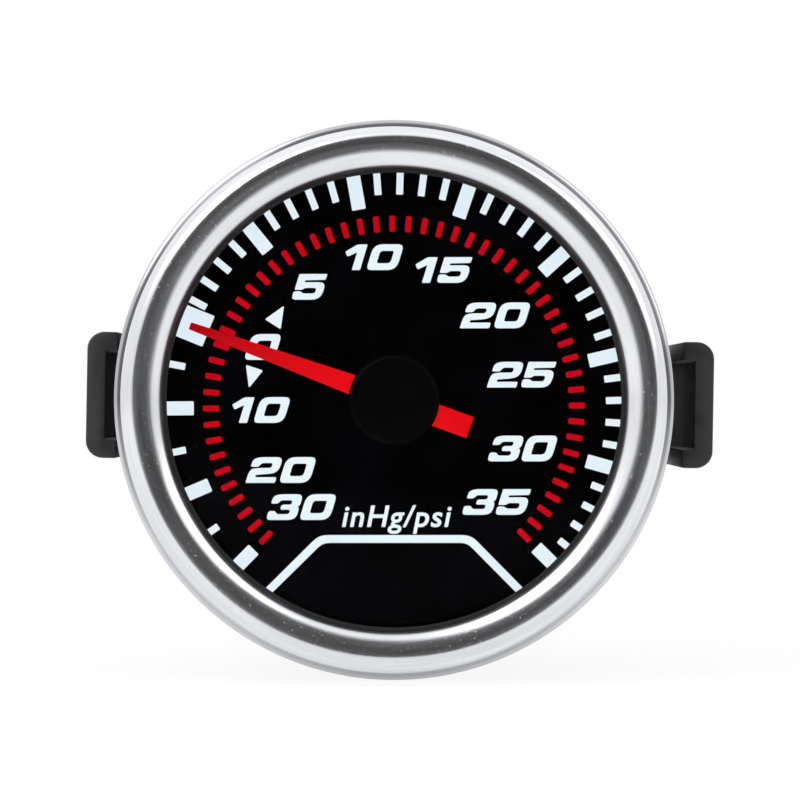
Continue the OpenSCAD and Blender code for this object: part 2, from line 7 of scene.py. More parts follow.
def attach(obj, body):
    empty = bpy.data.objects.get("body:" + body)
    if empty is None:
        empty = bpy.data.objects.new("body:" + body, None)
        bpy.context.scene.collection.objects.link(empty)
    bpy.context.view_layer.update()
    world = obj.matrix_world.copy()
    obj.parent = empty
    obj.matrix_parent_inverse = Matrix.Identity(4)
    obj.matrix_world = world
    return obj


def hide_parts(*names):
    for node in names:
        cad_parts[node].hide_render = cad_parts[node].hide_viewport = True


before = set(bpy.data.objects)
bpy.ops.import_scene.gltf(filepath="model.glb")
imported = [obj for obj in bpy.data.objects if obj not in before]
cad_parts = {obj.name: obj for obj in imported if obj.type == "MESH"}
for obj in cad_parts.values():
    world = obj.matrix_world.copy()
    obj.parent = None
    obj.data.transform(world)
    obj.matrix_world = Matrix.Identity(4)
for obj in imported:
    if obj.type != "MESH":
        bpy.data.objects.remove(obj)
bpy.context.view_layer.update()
MM = 0.001

# Camera: it stands level with the dial, a little right of its middle.
camera_distance = 0.350
camera_right = 0.00064
bpy.ops.object.camera_add(
    location=(camera_right, -camera_distance, 0), rotation=(math.pi / 2, 0, 0)
)
camera = bpy.context.object
camera.data.sensor_width = 36
camera.data.lens = 146.9
camera.data.clip_start = 0.01
bpy.context.scene.camera = camera
bpy.context.scene.view_settings.view_transform = "Standard"


class Wire:
    """The value of one socket, so that shader maths reads as plain arithmetic."""

    def __init__(self, nodes, socket):
        self.nodes = nodes
        self.socket = socket

    def maths(self, operation, *values):
        return self.nodes.add("Math", {"operation": operation}, dict(enumerate(values)))

    def __add__(self, other):
        return self.maths("ADD", self, other)

    def __sub__(self, other):
        return self.maths("SUBTRACT", self, other)

    def __rsub__(self, other):
        return self.maths("SUBTRACT", other, self)

    def __mul__(self, other):
        return self.maths("MULTIPLY", self, other)

    def __truediv__(self, other):
        return self.maths("DIVIDE", self, other)

    def clamped(self):
        return self.maths("MAXIMUM", self.maths("MINIMUM", self, 1.0), 0.0)


class Nodes:
    """A node tree, with one way to add any node to it."""

    def __init__(self, tree):
        self.tree = tree

    def add(self, kind, settings=None, values=None, output=0):
        node = self.tree.nodes.new("ShaderNode" + kind)
        for name, value in (settings or {}).items():
            setattr(node, name, value)
        for name, value in (values or {}).items():
            self.put(node.inputs[name], value)
        return Wire(self, node.outputs[output])

    def put(self, socket, value):
        if isinstance(value, Wire):
            self.tree.links.new(value.socket, socket)
        elif socket.type == "RGBA" and len(value) == 3:
            socket.default_value = (*value, 1.0)
        else:
            socket.default_value = value

    def places(self, stretch=(1, 1, 1)):
        """Object coordinates in metres, stretched along each axis."""
        here = self.add("TexCoord", output="Object")
        return self.add("Mapping", values={"Vector": here, "Scale": stretch})

    def noise(self, size, detail=3.0, stretch=(1, 1, 1), roughness=0.5):
        """Soft noise from 0 to 1, with blots of about the given size in millimetres."""
        return self.add(
            "TexNoise",
            values={
                "Vector": self.places(stretch),
                "Scale": 1 / (size * MM),
                "Detail": detail,
                "Roughness": roughness,
            },
        )

    def between(self, value, low, high, to_low=0.0, to_high=1.0):
        """Takes a value from one range to another, and keeps it in the second."""
        return self.add(
            "MapRange",
            values={
                "Value": value,
                "From Min": low,
                "From Max": high,
                "To Min": to_low,
                "To Max": to_high,
            },
        )

    def blend(self, share, one, other):
        """One colour where the share is 0, and the other where it is 1."""
        return self.add("Mix", {"data_type": "RGBA"}, {0: share, 6: one, 7: other}, output=2)

    def bump(self, height, depth, strength=1.0):
        """A bump whose full height is the given depth in millimetres."""
        return self.add(
            "Bump", values={"Height": height, "Distance": depth * MM, "Strength": strength}
        )


# Room: a white tent, as for polished metal, with a dark gap round and over the camera, and two
# soft lamps. Mirrors see the gap, and the camera sees plain white.
world = bpy.data.worlds.new("tent")
world.use_nodes = True
bpy.context.scene.world = world
tent = Nodes(world.node_tree)
gap_level = 0.072


def tent_cloth(nodes, direction):
    """How bright the tent is in a direction: 1 on its cloth, and low in the gap."""
    gap_middle = Euler((math.radians(-12.5), 0, math.radians(7))).to_matrix() @ Vector((0, -1, 0))
    nearness = nodes.add(
        "VectorMath", {"operation": "DOT_PRODUCT"}, {0: direction, 1: gap_middle}, output="Value"
    )
    return nodes.between(nearness, 0.775, 0.865, 1.0, gap_level)


look = tent.add("TexCoord", output="Generated")
upward = tent.add("SeparateXYZ", values={"Vector": look}, output="Z")
tent_light = tent.between(upward, -0.6, 0.6, 0.72, 1.0) * tent_cloth(tent, look)
seen = tent.add("LightPath", output="Is Camera Ray")
mirrored = tent.add("LightPath", output="Is Glossy Ray")
passed = tent.add("LightPath", output="Is Transmission Ray")
in_metal = (mirrored + passed).clamped()
room_level = 0.72
background = world.node_tree.nodes["Background"]
background.inputs["Color"].default_value = (1, 1, 1, 1)
tent.put(
    background.inputs["Strength"],
    seen + (1 - seen) * (in_metal * tent_light + (1 - in_metal) * room_level),
)

for lamp_place, lamp_turn, lamp_power in (
    ((-0.55, -0.55, 0.65), (50, 0, -45), 3.3),
    ((0.60, -0.45, 0.45), (60, 0, 52), 1.0),
):
    bpy.ops.object.light_add(
        type="AREA", location=lamp_place, rotation=[math.radians(a) for a in lamp_turn]
    )
    bpy.context.object.data.size = 0.6
    bpy.context.object.data.energy = lamp_power

# Floor: a plain pale sheet that the gauge stands on. It keeps the gauge's shadow, and the camera
# sees it as the same white as the background. Mirrors see the tent's gap go on across it.
floor_drop = -0.0301
floor_paint = bpy.data.materials.new("floor_paint")
floor_paint.use_nodes = True
floor_nodes = Nodes(floor_paint.node_tree)
bezel_height = 0.057
from_bezel = floor_nodes.add(
    "VectorMath", {"operation": "SUBTRACT"}, {0: floor_nodes.places(), 1: (0, 0, bezel_height)}
)
towards_floor = floor_nodes.add("VectorMath", {"operation": "NORMALIZE"}, {0: from_bezel})
in_mirror = floor_nodes.add("LightPath", output="Is Glossy Ray")
sheet_white = floor_nodes.blend(
    (tent_cloth(floor_nodes, towards_floor) + 1 - in_mirror).clamped(),
    (0.04, 0.04, 0.04),
    (0.92, 0.92, 0.92),
)
floor_mix = floor_nodes.add(
    "MixShader",
    values={
        0: floor_nodes.add("LightPath", output="Is Camera Ray") * 0.85 + in_mirror * 0.35,
        1: floor_nodes.add("BsdfDiffuse", values={"Color": sheet_white}),
        2: floor_nodes.add("Emission", values={"Color": sheet_white, "Strength": 1.15}),
    },
)
floor_nodes.put(floor_paint.node_tree.nodes["Material Output"].inputs["Surface"], floor_mix)
bpy.ops.mesh.primitive_plane_add(size=8, location=(0, 0, floor_drop))
floor = bpy.context.object
floor.name = "floor"
floor.data.materials.append(floor_paint)


# Bezel: one sheet of steel, drawn and rolled over the lens at the front and under the case's
# flange at the rear, then brushed and satin plated.
class Finish(Nodes):
    """A finish for one of the gauge's materials, whose constants sit on the shader's sockets."""

    def __init__(self, name, constants=None):
        self.material = bpy.data.materials.new(name)
        self.material.use_nodes = True
        super().__init__(self.material.node_tree)
        self.shader = self.tree.nodes["Principled BSDF"]
        for constant, value in (constants or {}).items():
            self.set(constant, value)

    def set(self, name, value):
        self.put(self.shader.inputs[name], value)
        return self

    def on(self, piece):
        piece.data.materials.clear()
        piece.data.materials.append(self.material)
        return piece


def empty_hands():
    """Nothing stays selected from an earlier step."""
    if bpy.context.object and bpy.context.object.mode != "OBJECT":
        bpy.ops.object.mode_set(mode="OBJECT")
    bpy.ops.object.select_all(action="DESELECT")


def settle(name, slot, body, *nodes):
    """Fixes the active piece's place in its mesh and joins it to the frame."""
    piece = bpy.context.object
    piece.name = piece.data.name = name
    bpy.ops.object.transform_apply(location=True, rotation=True, scale=True)
    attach(piece, body)
    if nodes:
        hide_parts(*nodes)
    return piece


def turned(profile, steps=192, middle=(0, 0)):
    """Spins a profile of (radius, height) places, in millimetres, about an axis towards the viewer.

    The profile runs as a closed loop where it starts off the axis, and from axis to axis otherwise.
    """
    empty_hands()
    points = [Vector((r * MM, -z * MM, 0)) for r, z in profile]
    if profile[0][0] > 0:
        points.append(points[0])
    bpy.ops.mesh.primitive_plane_add(size=MM, location=points[0])
    bpy.ops.object.mode_set(mode="EDIT")
    bpy.ops.mesh.merge(type="CENTER")
    for last, point in zip(points, points[1:]):
        bpy.ops.mesh.extrude_region_move(TRANSFORM_OT_translate={"value": point - last})
    bpy.ops.mesh.select_all(action="SELECT")
    bpy.ops.mesh.spin(
        steps=steps, angle=2 * math.pi, center=(0, 0, 0), axis=(0, 1, 0), dupli=False
    )
    bpy.ops.mesh.select_all(action="SELECT")
    bpy.ops.mesh.remove_doubles(threshold=1e-7)
    bpy.ops.mesh.normals_make_consistent(inside=False)
    bpy.ops.transform.translate(value=(middle[0] * MM, 0, middle[1] * MM))
    bpy.ops.object.mode_set(mode="OBJECT")
    bpy.ops.object.shade_smooth_by_angle(angle=math.radians(35))
    return bpy.context.object


def bend(r_middle, z_middle, radius, start, end, steps=10):
    """Places round part of a circle in a profile, with angles from outward to frontward."""
    return [
        (
            r_middle + radius * math.cos(math.radians(start + (end - start) * i / steps)),
            z_middle + radius * math.sin(math.radians(start + (end - start) * i / steps)),
        )
        for i in range(steps + 1)
    ]


bezel_top = 9.2
crest_r = 27.05
roll_out, roll_in, sheet = 1.65, 4.3, 0.7
lip_z, edge_r, edge_a = 6.2, 0.9, 33
edge_middle_r = crest_r - (roll_in - edge_r) * math.sin(math.radians(edge_a))
edge_middle_z = bezel_top - roll_in + (roll_in - edge_r) * math.cos(math.radians(edge_a))
turned(
    [(26.1, 0.0)]
    + bend(29.85, 0.15, 0.15, -90, 0, 3)
    + bend(29.65, 0.25, 0.35, 0, 62, 5)
    + [(28.85, 0.98), (28.7, 1.15)]
    + bend(crest_r, bezel_top - roll_out, roll_out, 0, 90, 14)
    + bend(crest_r, bezel_top - roll_in, roll_in, 90, 90 + edge_a, 10)[1:]
    + bend(edge_middle_r, edge_middle_z, edge_r, 90 + edge_a, 180, 8)[1:]
    + [(edge_middle_r - edge_r, lip_z), (edge_middle_r - edge_r + sheet, lip_z)]
    + bend(edge_middle_r + 0.1, edge_middle_z, 0.15, 180, 90 + edge_a, 3)
    + bend(crest_r, bezel_top - roll_in, roll_in - sheet, 90 + edge_a, 90, 6)[1:]
    + bend(crest_r, bezel_top - roll_out, roll_out - sheet, 90, 0, 8)[1:]
    + [(28.0, sheet), (26.1, sheet)],
    steps=256,
)
bezel = settle("bezel_ring", "satin_bezel", "gauge", "bezel")
satin = Finish("satin_plate", {"Metallic": 1.0, "Anisotropic": 0.2})
flattened = satin.places((1, 0, 1))
from_axis = satin.add("VectorMath", {"operation": "LENGTH"}, {0: flattened}, output="Value")
around = satin.add("VectorMath", {"operation": "NORMALIZE"}, {0: flattened})
along_depth = satin.add("SeparateXYZ", values={"Vector": satin.places()}, output="Y")
height = satin.add("SeparateXYZ", values={"Vector": satin.places()}, output="Z")


def streaks(width, length):
    """Brushing that runs round the ring, in lines of about the given size in millimetres."""
    run = satin.add(
        "VectorMath", {"operation": "SCALE"}, {0: around, "Scale": crest_r / length}
    )
    across = satin.add("CombineXYZ", values={"Y": (from_axis + along_depth) / (width * MM)})
    lines = satin.add("VectorMath", {"operation": "ADD"}, {0: run, 1: across})
    return satin.add("TexNoise", values={"Vector": lines, "Scale": 1.0, "Detail": 2.0})


fine_lines = streaks(0.10, 4)
broad_lines = streaks(0.55, 14)
cloud = satin.noise(5, 3)
grain = satin.noise(0.13, 2)
dust = satin.between(satin.noise(0.17, 1), 0.735, 0.765)
scuffs = satin.between(satin.noise(0.5, 4, roughness=0.7), 0.63, 0.70)
wear = scuffs * satin.between(cloud, 0.50, 0.60)
# Painted shade: the lip's inner edge, inside about 24.5 mm from the axis, is painted near black and
# made rougher.
lip_painted_shade = satin.between(from_axis, 24.3 * MM, 24.75 * MM, 1.0, 0.0)
# Painted shade in the crease where the hem meets the skirt, and a lighter painted shade over the
# hem's outer face beyond it.
painted_crease_and_hem_shade = satin.between(from_axis, 28.9 * MM, 29.0 * MM) * satin.between(
    from_axis, 29.55 * MM, 29.75 * MM, 1.0, 0.42
)
# The crease's painted shade is full on the upper part of the ring and falls to about a third
# towards the bottom.
painted_shade_upward = satin.between(height, -14 * MM, 0, 0.35, 1.0)
broad_tone = satin.between(broad_lines, 0.35, 0.65)
tone = fine_lines * 0.3 + broad_tone * 0.35 + cloud * 0.2 + grain * 0.25
plate = satin.blend(tone.clamped(), (0.70, 0.715, 0.75), (0.97, 0.98, 1.0))
# Share of painted shade: the plate is painted near black at the lip's edge and in the crease.
painted_shade_share = (lip_painted_shade + painted_crease_and_hem_shade * painted_shade_upward * 0.95).clamped()
satin.set("Base Color", satin.blend(painted_shade_share, plate, (0.10, 0.10, 0.11)))
satin.set(
    "Roughness",
    (
        fine_lines * 0.10 + broad_lines * 0.14 + grain * 0.10
        + dust * 0.35 + wear * 0.15 + lip_painted_shade * 0.3
    ).clamped(),
)
relief = fine_lines * 0.4 + grain * 0.3 + dust * 0.6 + wear * 0.3
satin.set("Normal", satin.bump(relief, 0.008, 0.5))
satin.on(bezel)

# Lens: a flat disc of lightly smoked glass with ground edges, held under the bezel's lip.
glass_rear, glass_front, glass_flat_r, ground = 3.7, 5.7, 27.75, 0.15
turned(
    [(0, glass_rear), (glass_flat_r, glass_rear)]
    + bend(glass_flat_r, glass_rear + ground, ground, -90, 0, 3)[1:]
    + bend(glass_flat_r, glass_front - ground, ground, 0, 90, 3)
    + [(0, glass_front)],
)
lens = settle("lens_glass", "smoked_glass", "gauge", "lens")
glass = Finish(
    "smoked_lens", {"Base Color": (0.003, 0.003, 0.004), "Specular IOR Level": 0.3}
)
smudge = glass.noise(9, 2)
glass.set("Roughness", glass.between(smudge, 0.45, 0.75, 0.02, 0.07))
glass.set("Alpha", glass.between(smudge, 0.5, 0.8, 0.08, 0.10))
glass.on(lens)


# Dial print: white and red inks on the black dial, lit from behind by the lamps. The scale's own
# middle lies a little below the pointer's axis.
rim_r = 24.6
ink_rear, ink_thickness = -0.5, 0.03


def rounded(corners, steps=4):
    """Outline whose corners (x, y, cut) are rounded off over the given cut."""
    outline = []
    for i, (x, y, cut) in enumerate(corners):
        here = Vector((x, y))
        sides = []
        for other in (corners[i - 1], corners[(i + 1) % len(corners)]):
            side = Vector(other[:2]) - here
            sides.append(here + side.normalized() * min(cut, side.length * 0.48))
        for k in range(steps + 1):
            t = k / steps
            outline.append(
                sides[0] * (1 - t) ** 2 + here * 2 * t * (1 - t) + sides[1] * t**2
            )
    return outline


def printed(name, outlines, thickness, height):
    """Flat shapes in millimetres, made a thin mesh that faces the viewer at a height."""
    empty_hands()
    drawing = bpy.data.curves.new(name, "CURVE")
    drawing.dimensions = "2D"
    drawing.fill_mode = "BOTH"
    drawing.extrude = thickness * MM / 2
    for outline in outlines:
        spline = drawing.splines.new("POLY")
        spline.points.add(len(outline) - 1)
        for point, place in zip(spline.points, outline):
            point.co = (place[0] * MM, place[1] * MM, 0, 1)
        spline.use_cyclic_u = True
    piece = bpy.data.objects.new(name, drawing)
    bpy.context.collection.objects.link(piece)
    bpy.context.view_layer.objects.active = piece
    piece.select_set(True)
    bpy.ops.object.convert(target="MESH")
    piece.rotation_euler = (math.pi / 2, 0, 0)
    piece.location = (0, -(height + thickness / 2) * MM, 0)
    return bpy.context.object


def tick(angle, r_in, r_out, width, cut):
    """Bar that points to the scale's middle. With no outer radius it runs out under the rim."""
    turn = Matrix.Rotation(math.radians(angle), 2)
    middle = Vector((-0.02, -0.72))
    if r_out is None:
        along = (turn @ Vector((1, 0))).dot(middle)
        r_out = math.sqrt(along**2 - middle.length_squared + rim_r**2) - along
    corners = [(r_in, -width / 2), (r_out, -width / 2), (r_out, width / 2), (r_in, width / 2)]
    return rounded([(*(turn @ Vector(c) + middle), cut) for c in corners], 3)


digits = {
    "0": (
        33.6,
        [(0, 0, 5), (0, 25.8, 9), (30.2, 25.8, 6), (30.2, 0, 9)],
        [(8.4, 6.8, 2), (8.4, 19.2, 3.2), (22.2, 19.2, 2), (22.2, 6.8, 3.8)],
    ),
    "1": (
        26.4,
        [
            (12.0, 0, 0.8),
            (20.2, 0, 0.8),
            (20.2, 25.6, 1.0),
            (10.2, 25.6, 1.8),
            (0, 18.2, 1.2),
            (3.8, 13.4, 1.2),
            (12.1, 17.8, 0.8),
        ],
    ),
    "2": (
        33.6,
        [
            (0, 0, 0.8),
            (0.2, 14.0, 7.5),
            (9.6, 14.9, 1.5),
            (21.5, 15.0, 2.4),
            (21.5, 19.9, 2.4),
            (10.6, 19.9, 2.4),
            (8.3, 16.1, 1.4),
            (0.4, 16.1, 1.6),
            (1.0, 25.7, 9.5),
            (29.9, 25.7, 5.5),
            (30.1, 9.8, 9),
            (8.1, 8.0, 1),
            (8.1, 5.7, 1),
            (29.4, 5.7, 1.4),
            (29.4, 0, 1.2),
        ],
    ),
    "3": (
        33.4,
        [
            (0, 0, 4.5),
            (0.2, 8.9, 2),
            (6.8, 8.9, 1.8),
            (9.0, 5.8, 2.6),
            (21.4, 5.8, 2.4),
            (21.4, 10.3, 2.4),
            (11.2, 10.3, 2),
            (11.2, 15.3, 2.4),
            (21.0, 15.4, 2.2),
            (21.0, 19.7, 2.2),
            (9.5, 19.7, 2),
            (7.2, 16.4, 1.4),
            (0.3, 16.4, 1.6),
            (0.8, 25.7, 9.5),
            (29.8, 25.7, 6),
            (29.8, 14.8, 2),
            (27.6, 13.1, 0.6),
            (29.8, 11.6, 1.6),
            (29.6, 0, 8.5),
        ],
    ),
    "5": (
        33.6,
        [
            (0.6, 25.7, 1.0),
            (28.7, 25.7, 1.4),
            (28.3, 19.9, 1.2),
            (8.2, 19.4, 0.5),
            (8.2, 17.5, 0.5),
            (29.7, 17.5, 7),
            (29.2, 0, 8.5),
            (0.0, 0, 4.5),
            (0, 8.4, 2),
            (6.8, 8.4, 1.8),
            (9.8, 6.2, 2.6),
            (21.8, 6.2, 3),
            (21.8, 11.8, 3),
            (10.2, 11.8, 2),
            (8.0, 9.9, 1.2),
            (0.4, 9.9, 1.2),
        ],
    ),
}
digit_unit = 0.1074
digit_slant = 0.30


def numeral(figures, left, base):
    """Slanted figures from their left lower corner, in millimetres on the dial."""
    outlines, x = [], 0
    for figure in figures:
        advance, *shapes = digits[figure]
        for shape in shapes:
            outlines.append(
                [
                    (
                        left + (x + p[0] + digit_slant * p[1]) * digit_unit,
                        base + p[1] * digit_unit,
                    )
                    for p in rounded(shape)
                ]
            )
        x += advance
    return outlines


white_shapes = []
for figures, left, base in (
    ("30", -13.77, -12.88),
    ("20", -15.96, -8.90),
    ("10", -17.96, -2.46),
    ("0", -16.11, 4.31),
    ("5", -11.04, 10.77),
    ("10", -5.83, 13.95),
    ("15", 1.70, 12.58),
    ("20", 7.05, 7.70),
    ("25", 9.95, 1.34),
    ("30", 9.99, -6.59),
    ("35", 7.24, -12.33),
):
    white_shapes += numeral(figures, left, base)
zero_angle, vacuum_step, boost_step = 157.9, 22.54, 28.94
long_in, short_in = 21.48, 22.78
for i in range(1, 4):
    white_shapes.append(tick(zero_angle + vacuum_step * i, long_in, None, 1.50, 0.12))
    white_shapes.append(tick(zero_angle + vacuum_step * (i - 0.5), 22.8, None, 0.75, 0.1))
white_shapes.append(tick(zero_angle, long_in, None, 3.54, 0.12))
for i in range(1, 36):
    angle = zero_angle - boost_step * i / 5
    if i % 5:
        white_shapes.append(tick(angle, short_in, None, 0.75, 0.1))
    else:
        white_shapes.append(tick(angle, long_in, None, 1.48, 0.12))
white_shapes.append(rounded([(-13.87, 8.67, 0.2), (-11.81, 10.12, 0.2), (-12.17, 7.59, 0.2)]))
white_shapes.append(rounded([(-15.91, 3.78, 0.2), (-14.06, 3.17, 0.2), (-15.58, 1.30, 0.2)]))
line_half = 0.42
white_shapes.append(
    rounded(
        [
            (-14.45, -20.85, 0.1),
            (-8.05, -14.92 + line_half, 0.9),
            (8.25, -14.92 + line_half, 0.9),
            (14.5, -20.85, 0.1),
            (13.3, -20.85, 0.1),
            (7.85, -14.92 - line_half, 0.7),
            (-7.65, -14.92 - line_half, 0.7),
            (-13.25, -20.85, 0.1),
        ]
    )
)
printed("white_print", white_shapes, ink_thickness, ink_rear)
white_print = settle("white_print", "print_white", "gauge")
white_ink = Finish(
    "lit_white_ink",
    {
        "Base Color": (0.20, 0.23, 0.25),
        "Roughness": 0.6,
        "Specular IOR Level": 0.1,
        "Emission Strength": 1.02,
    },
)
white_grain = white_ink.noise(0.6, 2)
white_ink.set("Emission Color", white_ink.blend(white_grain, (0.74, 0.88, 0.98), (0.86, 0.95, 1.0)))
white_ink.on(white_print)

bpy.ops.object.text_add()
label = bpy.context.object
label.data.body = "inHg/psi"
label.data.size = 3.24 * MM
label.data.shear = 0.2
label.data.offset = 0.05 * MM
label.data.space_character = 1.1
label.data.extrude = ink_thickness * MM / 2
label.data.align_x = "CENTER"
bpy.ops.object.select_all(action="DESELECT")
label.select_set(True)
bpy.ops.object.convert(target="MESH")
label.rotation_euler = (math.pi / 2, 0, 0)
label.location = (0.10 * MM, -(ink_rear + ink_thickness / 2) * MM, -13.58 * MM)
unit_label = settle("unit_label", "print_white", "gauge")
white_ink.on(unit_label)

red_first, red_step, red_in, red_out = 225.6, 5.005, 18.78, 20.52
red_shapes = [tick(red_first - red_step * i, red_in, red_out, 0.64, 0.2) for i in range(55)]
printed("red_print", red_shapes, ink_thickness, ink_rear)
red_print = settle("red_print", "print_red", "gauge")
red_ink = Finish(
    "lit_red_ink",
    {
        "Base Color": (0.05, 0.0, 0.001),
        "Roughness": 0.6,
        "Specular IOR Level": 0.05,
        "Emission Strength": 0.9,
    },
)
red_grain = red_ink.noise(0.8, 2)
red_ink.set("Emission Color", red_ink.blend(red_grain, (0.58, 0.0, 0.006), (0.80, 0.001, 0.012)))
red_ink.on(red_print)

dial_face = Finish(
    "dial_black_ink",
    {"Base Color": (0, 0, 0), "Specular IOR Level": 0.0, "Emission Strength": 1.0},
)
dial_grain = dial_face.noise(0.15, 2)
# Painted glow: the black dial gives off a very faint light, in soft patches.
painted_dial_glow = dial_face.between(dial_face.noise(7, 3), 0.42, 0.68)
dial_face.set(
    "Emission Color", dial_face.blend(painted_dial_glow, (0.0, 0.0, 0.0001), (0.0010, 0.0011, 0.0017))
)
dial_face.set("Roughness", dial_face.between(dial_grain, 0.3, 0.7, 0.66, 0.78))
dial_face.on(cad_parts["dial_plate"])


# Pointer: a moulded clear red blade with soft edges, lit from its hub, and a square-ended tail.
def sketched_plate(outline, thickness, height, edge):
    """A flat plate pulled up from an outline in millimetres, with its edges rounded."""
    printed("plate", [outline], thickness, height)
    bpy.ops.object.transform_apply(location=True, rotation=True, scale=True)
    bpy.ops.object.mode_set(mode="EDIT")
    bpy.ops.mesh.select_all(action="SELECT")
    bpy.ops.mesh.remove_doubles(threshold=1e-7)
    bpy.ops.mesh.dissolve_limited(angle_limit=math.radians(1))
    bpy.ops.mesh.normals_make_consistent(inside=False)
    bpy.ops.object.mode_set(mode="OBJECT")
    rounded_edge = bpy.context.object.modifiers.new("edge", "BEVEL")
    rounded_edge.width = edge * MM
    rounded_edge.segments = 3
    rounded_edge.limit_method = "ANGLE"
    rounded_edge.angle_limit = math.radians(40)
    bpy.ops.object.modifier_apply(modifier="edge")
    bpy.ops.object.shade_smooth_by_angle(angle=math.radians(35))
    return bpy.context.object


pointer_angle = math.radians(160)
lie = Matrix.Rotation(pointer_angle, 2)
blade = [
    (-8.65, -1.2),
    (-4.0, -1.2),
    (-3.6, -2.4),
    (3.6, -2.4),
    (4.2, -1.10),
    (23.2, -0.40),
    (23.2, 0.40),
    (4.2, 1.10),
    (3.6, 2.4),
    (-3.6, 2.4),
    (-4.0, 1.2),
    (-8.65, 1.2),
]
sketched_plate([lie @ Vector(p) for p in blade], 0.6, 1.0, 0.12)
pointer_blade = settle("pointer_blade", "pointer_red", "pointer", "pointer")
red = Finish(
    "lit_red_acrylic",
    {"Roughness": 0.35, "Specular IOR Level": 0.12, "Emission Strength": 0.9},
)
along = red.add(
    "VectorMath", {"operation": "LENGTH"}, {0: red.add("TexCoord", output="Object")}, output="Value"
)
outward = red.between(along, 0.004, 0.022)
flow = red.noise(1.5, 2)
red.set("Base Color", red.blend(outward, (0.25, 0.0, 0.002), (0.20, 0.0, 0.002)))
dimming = (outward + flow * 0.2 - 0.1).clamped()
red.set("Emission Color", red.blend(dimming, (0.86, 0.0, 0.004), (0.46, 0.0, 0.003)))
red.set("Normal", red.bump(flow, 0.02, 0.3))
red.on(pointer_blade)

# Hub cap: a turned black cap with a rounded rim, pressed over the pointer's middle.
cap_rear, cap_front, cap_r, cap_edge = 1.6, 3.0, 4.85, 0.5
turned(
    [(0, cap_rear), (cap_r - 0.1, cap_rear), (cap_r, cap_rear + 0.1)]
    + bend(cap_r - cap_edge, cap_front - cap_edge, cap_edge, 0, 90, 6)
    + [(1.2, cap_front), (0.9, cap_front - 0.04), (0, cap_front - 0.04)],
    96,
)
cap = settle("cap_disc", "cap_black", "pointer", "hub_cap")
cap_paint = Finish("cap_black_paint", {"Specular IOR Level": 0.06})
cap_grain = cap_paint.noise(0.2, 2)
cap_paint.set("Roughness", cap_paint.between(cap_grain, 0.3, 0.7, 0.32, 0.45))
cap_paint.set(
    "Base Color", cap_paint.blend(cap_grain, (0.0003, 0.0003, 0.0004), (0.0008, 0.0008, 0.001))
)
cap_paint.on(cap)


# Clamp bracket: black moulded nylon, with a channel section and soft edges. It is pulled against
# the panel from behind by the two thumb nuts.
def softened(node, name, slot, body, edge, sharp=30, segments=2):
    """A copy of a CAD node with its triangles merged into faces and its edges rounded."""
    empty_hands()
    piece = bpy.data.objects.new(name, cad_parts[node].data.copy())
    bpy.context.collection.objects.link(piece)
    bpy.context.view_layer.objects.active = piece
    piece.select_set(True)
    piece.data.materials.clear()
    bpy.ops.object.mode_set(mode="EDIT")
    bpy.ops.mesh.select_all(action="SELECT")
    bpy.ops.mesh.customdata_custom_splitnormals_clear()
    bpy.ops.mesh.remove_doubles(threshold=2e-7)
    bpy.ops.mesh.dissolve_limited(angle_limit=math.radians(0.5))
    bpy.ops.object.mode_set(mode="OBJECT")
    rounded_edge = piece.modifiers.new("edge", "BEVEL")
    rounded_edge.width = edge * MM
    rounded_edge.segments = segments
    rounded_edge.limit_method = "ANGLE"
    rounded_edge.angle_limit = math.radians(sharp)
    bpy.ops.object.modifier_apply(modifier="edge")
    bpy.ops.object.shade_smooth_by_angle(angle=math.radians(sharp))
    return settle(name, slot, body, node)


bracket = softened("bracket", "bracket_channel", "bracket_black", "clamp", 0.25)
nylon = Finish("bracket_nylon")
mottle = nylon.noise(1.6, 4)
speck = nylon.between(nylon.noise(0.22, 1), 0.74, 0.78)
fine = nylon.noise(0.12, 2)
nylon_tone = (mottle * 0.6 + speck * 0.6).clamped()
nylon.set("Base Color", nylon.blend(nylon_tone, (0.014, 0.014, 0.016), (0.044, 0.044, 0.049)))
nylon.set("Roughness", nylon.between(mottle, 0.3, 0.7, 0.42, 0.60))
nylon.set("Normal", nylon.bump(fine * 0.5 + mottle * 0.5, 0.02, 0.6))
nylon.on(bracket)

# Case: a drawn steel can, painted black outside, with the flange that the bezel is rolled round.
case_paint = Finish("case_black_paint")
case_cloud = case_paint.noise(3, 3)
case_fine = case_paint.noise(0.3, 2)
case_paint.set(
    "Base Color", case_paint.blend(case_cloud, (0.012, 0.012, 0.013), (0.028, 0.028, 0.030))
)
case_paint.set("Roughness", case_paint.between(case_cloud, 0.3, 0.7, 0.34, 0.50))
case_paint.set("Normal", case_paint.bump(case_fine, 0.01, 0.5))
case_paint.on(softened("housing", "case_can", "case_black", "gauge", 0.15))
case_paint.on(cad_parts["spacer_ring"])

# Rubber: the gasket under the bezel's lip, and the grommet that guards the lamp leads.
rubber = Finish("black_rubber", {"Roughness": 0.7})
rubber_dust = rubber.noise(0.5, 4)
rubber.set("Base Color", rubber.blend(rubber_dust, (0.012, 0.012, 0.012), (0.032, 0.031, 0.030)))
rubber.set("Normal", rubber.bump(rubber.noise(0.2, 2), 0.01, 0.5))
rubber.on(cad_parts["lens_gasket"])
rubber.on(softened("grommet", "lead_grommet", "black_rubber", "gauge", 0.3, segments=3))

